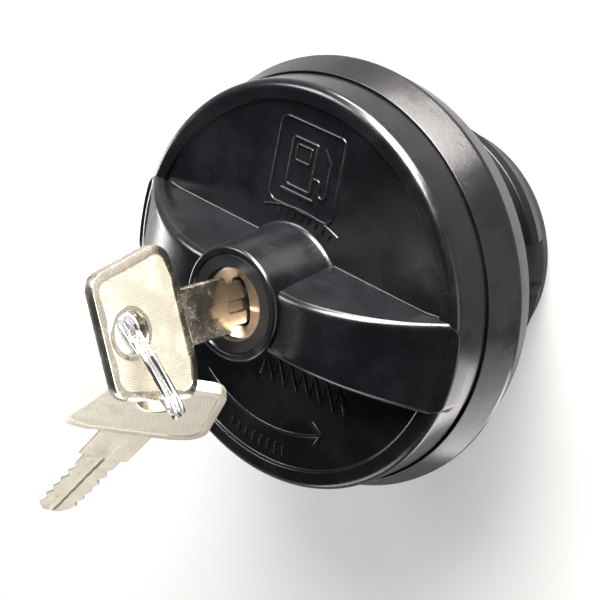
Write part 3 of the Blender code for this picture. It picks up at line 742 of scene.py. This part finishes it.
def wing_body(sizes, side):
    """One wing: a top that falls away outwards, a rounded ridge all round it, and flanks.

    A column runs from the middle line over the ridge and down the flank to the face. Its
    distance from the ridge is d in plan, and its height follows the top, then a corner arc
    between top and flank, then a small fillet at the foot. Near the end, ending grows from 0
    to 1, the ridge gets smaller and the wall reaches lower."""
    reach = sizes.wing_reach / MM
    edge, out = wing_outline(reach)
    count = len(edge)
    inset = 3.0
    ending = np.clip((edge[:, 0] - reach + 6) / 5, 0, 1)
    ridge = WING_RIDGE - WING_RIDGE_LOSS * ending**2
    foot = np.maximum(WING_HALF_BASE - np.abs(edge[:, 1]), 0.35)
    foot = foot * (1 - ending) + WING_FOOT * ending
    ground = FACE_Z - WING_END_DROP * ending
    inner = np.stack([np.full(count, -inset), wing_top(edge[:, 0] - inset * out[:, 0])], -1)
    top = np.stack([np.zeros(count), wing_top(edge[:, 0])], -1)
    base = np.stack([foot, ground], -1)
    beyond = np.stack([foot + 1.0 - 0.9 * ending, ground - SINK - ending], -1)
    over = corner_arc(inner, top, base, ridge, 10)
    under = corner_arc(top, base, beyond, WING_FILLET, 5)
    rows = np.concatenate([over, under, beyond[None]])
    plan = edge[None] + out[None] * rows[..., 0][..., None]
    outer = np.concatenate([plan, rows[..., 1][..., None]], -1)
    spine = np.stack([np.minimum(edge[:, 0], reach - 4.5), np.zeros(count)], -1)
    share = np.linspace(0, 1, 9)[:-1, None, None]
    lid = spine[None] * (1 - share) + plan[0][None] * share
    lid = np.concatenate([lid, wing_top(lid[..., 0])[..., None]], -1)
    points = np.concatenate([lid, outer])
    points[..., 2] = np.minimum(points[..., 2], np.maximum(wing_top(points[..., 0]), FACE_Z))
    held = np.sqrt(np.maximum(BOSS_CORE_R**2 - points[..., 1] ** 2, 0))
    points[..., 0] = side * np.maximum(points[..., 0], held)
    return surface(points)


def raised_line(points, width, height, closed):
    """A low rounded bead along a path on the face: x = cos t, y = sin t to the power
    BEAD_POWER, for t over half a turn, carried along the path."""
    points = np.array(points, float)
    path = np.column_stack([points, np.full(len(points), FACE_Z)])
    turn = np.linspace(0, math.pi, 9)
    section = np.stack([np.cos(turn) * width / 2, np.sin(turn) ** BEAD_POWER * height], -1)
    section = np.vstack([section, [(-width / 2, -BEAD_ROOT), (width / 2, -BEAD_ROOT)]])
    grid = swept(path, section, closed)
    if closed:
        return [surface(grid, wrap_rows=True, wrap_columns=True)]
    return tube(grid)


def arc_points(radius, start, end, steps=24, centre=(0, 0)):
    """Points of an arc, with angles in degrees."""
    a = np.radians(np.linspace(start, end, steps + 1))
    return np.stack([centre[0] + radius * np.cos(a), centre[1] + radius * np.sin(a)], -1)


def rounded_box(centre, half, corner):
    """The outline of a box with rounded corners, in plan."""
    (x, y), (w, h) = centre, half
    return rounded([(x - w, y - h, corner), (x + w, y - h, corner), (x + w, y + h, corner),
                    (x - w, y + h, corner)], steps=5)


def pump_lines(x, y):
    """A fuel pump on a framed plate: frame, housing, window, base line and hose."""
    return [
        (rounded_box((x, y), (7.7, 8.2), 1.6), 0.62, True),
        (rounded_box((x - 1.3, y + 0.4), (2.9, 4.6), 0.5), 0.7, True),
        (rounded_box((x - 1.3, y + 2.4), (1.7, 1.5), 0.3), 0.5, True),
        ([(x - 5.2, y - 5.4), (x + 2.6, y - 5.4)], 0.9, False),
        (rounded([(x + 1.6, y - 1.2, 0), (x + 3.4, y - 1.2, 0.8), (x + 3.4, y - 4.2, 0.9),
                  (x + 5.2, y - 4.2, 0.9), (x + 5.2, y + 2.6, 0.8), (x + 3.2, y + 5.2, 0)],
                 closed=False), 0.6, False),
    ]


def tick_lines(count, first, pitch, radii, width, centre_y=0.0):
    """A row of short strokes across an arc, from one radius to the other. Angles are in
    degrees."""
    ticks = []
    for i in range(count):
        angle = math.radians(first + pitch * i)
        way = np.array([math.cos(angle), math.sin(angle)])
        ticks.append(([way * radius + (0, centre_y) for radius in radii], width, False))
    return ticks


def tooth_line(count, start, end):
    """A line of saw teeth, each nearly upright in front and sloping behind."""
    pitch, climb = 3.0, 0.12
    tooth = np.array([(0.0, 0.0), (0.5, 4.6)])
    teeth = [tooth + (pitch * i + start[0], start[1] + climb * i) for i in range(count)]
    return np.vstack(teeth + [np.array([end])]), 0.85, False


def face_signs(sizes):
    """Generic moulded signs: a fuel pump on a plain plate above the handle, and below it
    ratchet teeth, a turning arrow and a row of ticks. Each line is (points, width, closed)."""
    lines = pump_lines(*PUMP_AT)
    lines.append((arc_points(24.0, 112, 68, 30, (0, SIGN_ARC_Y)), 0.5, False))
    lines += tick_lines(9, 108, -4.5, (22.2, 23.4), 0.45, SIGN_ARC_Y)
    lines.append(tooth_line(7, (-2.0, -18.9), (19.0, -18.0)))
    lines.append((arc_points(ARROW_R, *ARROW_TURN, 40), 0.8, False))
    tip = arc_points(ARROW_R, ARROW_TURN[1], ARROW_TURN[1] + 1, 1)[-1]
    lines.append(([tip + (-2.6, 1.6), tip, tip + (-1.0, -2.6)], 0.8, False))
    lines += tick_lines(8, 258, 3.4, (31.2, 33.4), 0.6)
    made = []
    for points, width, closed in lines:
        made += raised_line(points, width, sizes.relief_height / MM, closed)
    return made


# Closure


def neck_body(sizes):
    """The neck, turned, with its lug ring cut by three slots: inside a slot the radius is
    held at the slot's floor."""
    neck, lug = sizes.neck_radius / MM, sizes.lug_radius / MM
    path = rounded([
        (0, 38.4, 0), (21.0, 38.4, 0), (21.6, 41.0, 0), (33.2, 41.0, 0.3), (33.2, 38.6, 0.3),
        (27.2, 38.6, 0), (27.2, 30.8, 0), (29.0, 30.8, 0.3), (29.0, 27.5, 0.3),
        (neck, 27.5, 0.4), (neck, 13.6, 0.8), (lug, 12.3, 0.35), (lug, 10.1, 0.5),
        (25.6, 4.6, 0.8), (24.6, 1.6, 0.8), (22.7, 0.0, 0.5), (19.6, 0.0, 0.35),
        (19.6, 34.0, 0), (0, 34.0, 0)], closed=False)
    sides = np.array([-SLOT_HALF - SLOT_SIDE, -SLOT_HALF, SLOT_HALF, SLOT_HALF + SLOT_SIDE])
    angles = [np.linspace(0, math.tau, ROUND_STEPS, endpoint=False)]
    angles += [middle + sides for middle in SLOT_MIDDLES]
    angles = np.unique(np.round(np.concatenate(angles) % math.tau, 5))
    grid = turned(path, angles=angles)
    slot = np.zeros(len(angles), bool)
    for middle in SLOT_MIDDLES:
        away = (angles - middle + math.pi) % math.tau - math.pi
        slot |= np.abs(away) < SLOT_HALF + 0.001
    r, z = path[:, 0][:, None], path[:, 1][:, None]
    cut = slot[None, :] & (z > SLOT_Z[0]) & (z < SLOT_Z[1]) & (r > neck)
    r = np.where(cut, np.minimum(r, neck + SLOT_FLOOR), r)
    grid[..., 0], grid[..., 1] = r * np.cos(angles), r * np.sin(angles)
    return surface(grid, wrap_columns=True)


def bezel_body(sizes):
    """The bezel: two cones that meet in a narrow band at the widest edge, and a thin lip
    round the foot of the knob's skirt."""
    r = sizes.bezel_radius / MM
    path = rounded([
        (35.7, 33.5, 0), (35.7, 42.6, 0.2), (39.35, 42.7, 0.1), (39.35, 44.4, 0.1),
        (39.65, 44.4, 0.15), (r - 0.05, 38.45, 0.35), (r - 0.02, 37.65, 0.35),
        (39.6, 31.5, 0.6), (38.9, 31.1, 0.3), (27.5, 31.1, 0.2), (27.5, 33.5, 0)])
    return surface(turned(path, BEZEL_STEPS), wrap_rows=True, wrap_columns=True)


def gasket_body(sizes):
    """The gasket: a flat ring with two thin sealing lips at its edge."""
    inner = sizes.neck_radius / MM + 0.3
    path = rounded([
        (inner, 27.2, 0.2), (inner, 24.0, 0.2), (30.6, 24.0, 0.2), (32.0, 24.3, 0.25),
        (32.0, 25.1, 0.25), (31.2, 25.6, 0.25), (32.0, 26.1, 0.25), (32.0, 27.0, 0.25),
        (30.4, 27.2, 0.2)])
    return surface(turned(path), wrap_rows=True, wrap_columns=True)


# Lock


def plug_body():
    """The lock's plug with its keyway, as one skin from the keyway's floor up and over the
    dished face and down the outside.

    Rows blend from the keyway's outline to a circle. The keyway's outline at an angle is
    where a ray meets a rounded box, and the dish falls with the square of the way in."""
    a = np.linspace(0, math.tau, PLUG_STEPS, endpoint=False)
    box = 1 / ((np.abs(np.cos(a)) / KEYWAY_HALF) ** KEYWAY_POWER
               + (np.abs(np.sin(a)) / KEYWAY_HALF_THICK) ** KEYWAY_POWER) ** (1 / KEYWAY_POWER)
    slot = np.stack([box * np.cos(a), box * np.sin(a)], -1)
    circle = np.stack([np.cos(a), np.sin(a)], -1)
    edge_z = PLUG_TOP_Z - DISH_EDGE

    def dish(r):
        return edge_z - DISH_DEPTH * (1 - np.clip(r / DISH_R, 0, 1) ** 2)

    rows = [np.column_stack([slot, np.full(len(a), KEYWAY_FLOOR_Z)])]
    for share in np.linspace(0, 1, 14):
        plan = slot * (1 - share) + circle * DISH_R * share
        rows.append(np.column_stack([plan, dish(np.linalg.norm(plan, axis=1))]))
    groove_low, groove_high = PLUG_GROOVE_Z
    outside = rounded([
        (DISH_R, edge_z, 0), (DISH_R + 0.25, PLUG_TOP_Z, 0.15), (PLUG_R - 0.45, PLUG_TOP_Z, 0.2),
        (PLUG_R, PLUG_TOP_Z - 0.45, 0.2), (PLUG_R, groove_high, 0),
        (PLUG_GROOVE_R, groove_high, 0), (PLUG_GROOVE_R, groove_low, 0), (PLUG_R, groove_low, 0),
        (PLUG_R, 41.9, 0.3), (3.0, 41.9, 0), (3.0, 39.2, 0.3), (1.0, 39.2, 0)], closed=False)
    rows += list(turned(outside[1:], angles=a))
    return tube(np.array(rows))


def bush_body():
    """The sleeve between plug and boss, with a lip that stands in over the plug's edge."""
    bore, outer = BUSH_R
    lip_low, lip_high = BUSH_LIP_Z
    flange_low, flange_high = BUSH_FLANGE_Z
    path = rounded([
        (bore, BUSH_FOOT_Z, 0), (bore, lip_low, 0), (BUSH_LIP_R, lip_low, 0.1),
        (BUSH_LIP_R, lip_high, 0.35), (outer, lip_high, 0.3), (outer, flange_high, 0),
        (BUSH_FLANGE_R, flange_high, 0), (BUSH_FLANGE_R, flange_low, 0), (outer, flange_low, 0),
        (outer, BUSH_FOOT_Z, 0)])
    return surface(turned(path, SMALL_STEPS), wrap_rows=True, wrap_columns=True)


# Keys


def bow_outline():
    """The bow's outline, from the left shoulder round its end to the right shoulder."""
    wide = (BOW_WIDE[0] - BOW_CORNER, BOW_WIDE[1])
    end = (BOW_END - BOW_CORNER, BOW_LENGTH - BOW_CORNER)
    right = np.vstack([
        [(BOW_SHOULDER, 0.0)], arc_points(BOW_CORNER, -75, 10, 10, wide),
        arc_points(BOW_CORNER, 10, 90, 10, end)])
    outline = np.vstack([right, (right * (-1, 1))[::-1]])
    outline[:, 1] += BOW_SKEW * outline[:, 0]
    return outline


def reach_to(outline, centre, angles):
    """How far a ray from the centre goes, at each angle, until it meets the outline."""
    start = outline - centre
    side = np.roll(start, -1, 0) - start
    ray = np.stack([np.cos(angles), np.sin(angles)], -1)
    across = ray[:, None, 0] * side[None, :, 1] - ray[:, None, 1] * side[None, :, 0]
    across = np.where(np.abs(across) < 1e-9, 1e-9, across)
    length = (start[None, :, 0] * side[None, :, 1] - start[None, :, 1] * side[None, :, 0])
    length = length / across
    share = (start[None, :, 0] * ray[:, None, 1] - start[None, :, 1] * ray[:, None, 0]) / across
    good = (length > 0) & (share > -1e-6) & (share < 1 + 1e-6)
    return np.where(good, length, 1e9).min(1)


def bow_body(thick, hole):
    """The bow as a ring of skin round its hole: smooth rim, a pressed panel on both sides,
    and small rounded edges.

    Points are hole centre + distance x direction, where the distance runs from the hole's
    edge to the outline. Where the outline is slanted to the ray, rim and edges are widened."""
    centre = np.array([0.0, KEY_HOLE_Y])
    outline = bow_outline()
    corners = outline - centre
    angles = np.concatenate([
        np.linspace(-math.pi, math.pi, 160, endpoint=False),
        np.arctan2(corners[:, 1], corners[:, 0])])
    angles = np.unique(np.round(angles, 4))
    out = reach_to(outline, centre, angles)
    slope = np.gradient(out, angles)
    lean = np.minimum(np.sqrt(out**2 + slope**2) / out, 1.5)
    half = thick / 2
    panel_z = half - PANEL_SINK
    middle = (hole + out) / 2
    inner = np.minimum(hole + 0.9, middle - 0.1)
    outer = np.maximum(out - BOW_RIM * lean, middle + 0.1)
    top = [
        (np.full_like(out, hole), half - 0.2), (np.full_like(out, hole + 0.2), half),
        (inner, half), (inner + 0.08, panel_z), (middle, panel_z),
        (outer - 0.08, panel_z), (outer, half), (out - KEY_BEVEL * lean, half),
        (out - 0.06 * lean, half - 0.07), (out, half - 0.24)]
    rows = top + [(d, -z) for d, z in top[::-1]]
    grid = np.stack([
        np.column_stack([centre[0] + d * np.cos(angles), centre[1] + d * np.sin(angles),
                         np.full(len(angles), z)]) for d, z in rows])
    points, faces, _ = surface(grid, wrap_rows=True, wrap_columns=True)
    row = faces[:, 0] // len(angles)
    panel = np.isin(row, (3, 4, len(rows) - 6, len(rows) - 5))
    return [(points, faces[~panel], 0), (points, faces[panel], 1)]


def blade_stations():
    """Rows along the shank and blade: (y, half width, half thickness share, groove share)."""
    rows = [(0.7, SHANK_HALF, SHANK_SHARE, 0.0),
            (-SHANK_LENGTH + 0.5, SHANK_HALF, SHANK_SHARE, 0.0),
            (-SHANK_LENGTH + 0.1, SHANK_HALF - 0.15, SHANK_SHARE, 0.3),
            (-SHANK_LENGTH - 0.1, BLADE_HALF + 0.05, BLADE_SHARE, 0.8),
            (-SHANK_LENGTH - 0.8, BLADE_HALF, BLADE_SHARE, 1.0)]
    start = -BLADE_END + 4.0
    for i in reversed(range(CUTS)):
        y = start + CUT_PITCH * i
        low = BLADE_HALF - CUT_DEPTH * (1 - 0.25 * (i % 3))
        for up, wide in ((3.0, BLADE_HALF), (1.9, low), (1.1, low), (0.0, BLADE_HALF)):
            rows.append((y + up, wide, BLADE_SHARE, 1.0))
    rows += [(-BLADE_END + 2.6, BLADE_HALF - 0.6, BLADE_SHARE, 1.0),
             (-BLADE_END + 0.6, 2.0, 0.8, 0.7), (-BLADE_END, 1.5, 0.6, 0.0)]
    return np.array(rows)


def blade_body(thick):
    """Shank and blade: a flat bar whose section has bevelled edges and one groove on each
    side, with its width following the cuts.

    The section's points are (side, distance in from that side's edge), or (0, x)."""
    y, wide, share, groove = blade_stations().T
    half = thick / 2 * share
    floors = GROOVE_X[1:3]
    across = [(-1, 0), (-1, KEY_BEVEL), *((0, x) for x in GROOVE_X), (1, KEY_BEVEL), (1, 0)]
    columns = []
    for sign, section in ((1, across), (-1, across[::-1])):
        for side, at in section:
            x = side * (wide - at) if side else np.full_like(y, at) * np.minimum(wide / 4, 1)
            drop = KEY_BEVEL if side and at == 0 else 0.0
            cut = GROOVE_DEPTH * groove if side == 0 and at in floors else 0.0
            columns.append(np.column_stack([x, y, sign * (half - drop - cut)]))
    return tube(np.stack(columns, 1))


def make_key(context, name, body, skin, location, turn):
    """One key with its bow and blade, turned and moved to its place."""
    sizes = context.scene.cap_sizes
    thick, hole = sizes.key_thickness / MM, sizes.key_hole_radius / MM
    place = np.array(Matrix.LocRotScale(Vector(location), Euler(turn), None))
    return make_piece(
        name, bow_body(thick, hole) + blade_body(thick), body,
        [finish(context, skin), finish(context, "hatched_nickel")],
        [name.removesuffix("_looks")], place)


def ring_body(sizes):
    """The split ring: a round wire along two turns of a circle, which step over once.

    The step is 3t^2 - 2t^3 of the way through it, and the wire's ends are drawn in to blunt
    tips."""
    radius, wire = sizes.ring_radius / MM, sizes.ring_wire / MM
    i = np.arange(2 * RING_STEPS - 5)
    angle = i / RING_STEPS * math.tau
    step = np.clip((i - RING_STEPS + 12) / RING_STEP_OVER, 0, 1)
    offset = RING_PITCH * (step * step * (3 - 2 * step) - 0.5)
    path = np.column_stack([radius * np.cos(angle), radius * np.sin(angle), offset])
    turn = np.linspace(0, math.tau, 16, endpoint=False)
    section = np.stack([np.cos(turn), np.sin(turn)], -1) * wire
    grid = swept(path, section)
    tips = []
    for end, before in ((0, 1), (-1, -2)):
        ahead = unit(path[end] - path[before]) * 0.25
        tips.append((grid[end] * 0.35 + path[end] * 0.65 + ahead)[None])
    return tube(np.concatenate([tips[0], grid, tips[1]]))


# Operators


class FILLERCAP_OT_knob(Operator):
    """Make the knob: face, rim, skirt, boss, wings and moulded signs"""

    bl_idname = "filler_cap.knob"
    bl_label = "Make Knob"

    def execute(self, context):
        sizes = context.scene.cap_sizes
        surfaces = [knob_body(sizes), boss_body(sizes), wing_body(sizes, 1), wing_body(sizes, -1)]
        make_piece("knob", surfaces + face_signs(sizes), "knob",
                   [finish(context, "black_plastic")], ["knob_shell"])
        return {"FINISHED"}


class FILLERCAP_OT_closure(Operator):
    """Make the closure: neck with its lugs, bezel and gasket"""

    bl_idname = "filler_cap.closure"
    bl_label = "Make Closure"

    def execute(self, context):
        sizes = context.scene.cap_sizes
        for name, shape, skin, node, slot in (
            ("neck", neck_body, "neck_plastic", "filler_neck", "black_plastic"),
            ("bezel", bezel_body, "black_plastic", "bezel_ring", "black_plastic"),
            ("gasket", gasket_body, "rubber", "neck_gasket", "rubber"),
        ):
            make_piece(name, [shape(sizes)], "closure", [finish(context, skin)], [node])
        return {"FINISHED"}


class FILLERCAP_OT_lock(Operator):
    """Make the lock's plug and the bush round it"""

    bl_idname = "filler_cap.lock"
    bl_label = "Make Lock"

    def execute(self, context):
        turn = np.array(Matrix.Rotation(KEY_TURN, 4, "Z"))
        make_piece("plug", plug_body(), "plug", [finish(context, "brass")], ["lock_plug"],
                   turn)
        make_piece("bush", [bush_body()], "knob", [finish(context, "back_plastic")],
                   ["lock_bush"])
        return {"FINISHED"}


class FILLERCAP_OT_keys(Operator):
    """Make the key in the lock, the spare key and the split ring that joins them"""

    bl_idname = "filler_cap.keys"
    bl_label = "Make Keys"

    def execute(self, context):
        make_key(context, "key_in_lock_looks", "key", "nickel_silver", (0, 0, KEY_SHOULDER_Z),
                 (math.radians(90), 0, KEY_TURN))
        make_key(context, "spare_key_looks", "spare", "satin_nickel", SPARE_AT, SPARE_TURN)
        place = Vector(RING_NORMAL).to_track_quat("Z", "Y").to_matrix().to_4x4()
        place = np.array(Matrix.Translation(Vector(RING_AT)) @ place)
        make_piece("ring", ring_body(context.scene.cap_sizes), "ring",
                   [finish(context, "chrome")], ["split_ring"], place)
        return {"FINISHED"}


class FILLERCAP_OT_inner_parts(Operator):
    """Give the ratchet, valves, springs, screws and other inner parts their finishes"""

    bl_idname = "filler_cap.inner_parts"
    bl_label = "Finish Inner Parts"

    def execute(self, context):
        for part in frame["record"]["subparts"]:
            node = frame["nodes"][part["node"]]
            if node.hide_render:
                continue
            for slot in node.material_slots:
                slot.material = finish(context, part["material_slot"])
        return {"FINISHED"}


class FILLERCAP_OT_stage(Operator):
    """Make the floor, the studio lights and the camera"""

    bl_idname = "filler_cap.stage"
    bl_label = "Make Stage"

    def execute(self, context):
        make_floor(context)
        make_world(context)
        for name, way, far, size, power, tone in LIGHTS:
            way = Vector(way).normalized()
            make_light(context, name, Vector(AIM) + way * far, way, size, power, tone)
        make_light(context, "floor_light", FLOOR_LIGHT_AT, Vector((0, 0, -1)), (0.10, 0.09), 0.22,
                   (1.0, 0.97, 0.95))
        make_camera(context)
        return {"FINISHED"}


def make_light(context, name, location, way, size, power, tone):
    """A soft rectangular light that shines against its way, which points from the aim to it."""
    light = bpy.data.lights.new(name, "AREA")
    light.shape = "RECTANGLE"
    light.size, light.size_y = size
    light.energy, light.color = power, tone
    lamp = bpy.data.objects.new(name, light)
    lamp.location = location
    lamp.rotation_euler = way.to_track_quat("Z", "Y").to_euler()
    lamp.visible_camera = False
    context.scene.collection.objects.link(lamp)


def make_floor(context):
    """A flat square grid just under the neck's end."""
    half = context.scene.cap_sizes.floor_half / MM
    line = np.linspace(-half, half, 9)
    x, y = np.meshgrid(line, line)
    points, faces, _ = surface(np.stack([x, y, np.full_like(x, -0.2)], -1))
    mesh = bpy.data.meshes.new("floor")
    mesh.from_pydata((points * MM).tolist(), [], faces.tolist())
    mesh.materials.append(finish(context, "floor"))
    floor = bpy.data.objects.new("floor", mesh)
    context.scene.collection.objects.link(floor)


def make_world(context):
    """A white room with a darker ceiling: brightness falls with the height of the way up."""
    world = bpy.data.worlds.new("studio")
    world.use_nodes = True
    nodes = Nodes(world.node_tree)
    way = nodes.add("ShaderNodeTexCoord").outputs["Generated"]
    height = nodes.add("ShaderNodeSeparateXYZ", {"Vector": way}).outputs["Z"]
    level = nodes.ramp(height, 0.08, 0.6, 0.9, 0.09)
    tone = nodes.mix(nodes.ramp(height, 0.1, 0.8), (1.0, 1.0, 1.0, 1.0), (0.86, 0.93, 1.0, 1.0))
    back = nodes.add("ShaderNodeBackground", {"Color": tone, "Strength": level})
    out = nodes.add("ShaderNodeOutputWorld")
    world.node_tree.links.new(back.outputs[0], out.inputs[0])
    context.scene.world = world


def make_camera(context):
    """The camera, turned by its back and right directions made square to each other."""
    data = bpy.data.cameras.new("camera")
    data.lens = LENS
    data.clip_start, data.clip_end = 0.01, 20.0
    camera = bpy.data.objects.new("camera", data)
    context.scene.collection.objects.link(camera)
    back, right = Vector(CAMERA_BACK).normalized(), Vector(CAMERA_RIGHT).normalized()
    up = back.cross(right).normalized()
    right = up.cross(back)
    turn = Matrix((right, up, back)).transposed().to_4x4()
    camera.matrix_world = Matrix.Translation(Vector(CAMERA_AT)) @ turn
    context.scene.camera = camera
    context.scene.view_settings.view_transform = "Standard"


class FILLERCAP_PT_sidebar(Panel):
    """Sizes, colours and steps of the filler cap"""

    bl_idname = "FILLERCAP_PT_sidebar"
    bl_label = "Filler Cap"
    bl_space_type = "VIEW_3D"
    bl_region_type = "UI"
    bl_category = "Filler Cap"

    def draw(self, context):
        for group in (context.scene.cap_sizes, context.scene.cap_colours):
            box = self.layout.box()
            for name in group.__annotations__:
                box.prop(group, name)
        for step in STEPS:
            self.layout.operator(step.bl_idname)


STEPS = (FILLERCAP_OT_knob, FILLERCAP_OT_closure, FILLERCAP_OT_lock, FILLERCAP_OT_keys,
         FILLERCAP_OT_inner_parts, FILLERCAP_OT_stage)
CLASSES = (CapSizes, CapColours, *STEPS, FILLERCAP_PT_sidebar)


def register():
    for cls in CLASSES:
        bpy.utils.register_class(cls)
    bpy.types.Scene.cap_sizes = PointerProperty(type=CapSizes)
    bpy.types.Scene.cap_colours = PointerProperty(type=CapColours)


def unregister():
    del bpy.types.Scene.cap_sizes
    del bpy.types.Scene.cap_colours
    for cls in reversed(CLASSES):
        bpy.utils.unregister_class(cls)


def clear_startup():
    """Removes the objects that Blender starts with."""
    for name in ("Cube", "Light", "Camera"):
        if name in bpy.data.objects:
            bpy.data.objects.remove(bpy.data.objects[name])


def main():
    clear_startup()
    register()
    bpy.ops.filler_cap.knob()
    bpy.ops.filler_cap.closure()
    bpy.ops.filler_cap.lock()
    bpy.ops.filler_cap.keys()
    bpy.ops.filler_cap.inner_parts()
    bpy.ops.filler_cap.stage()


if __name__ == "__main__":
    main()
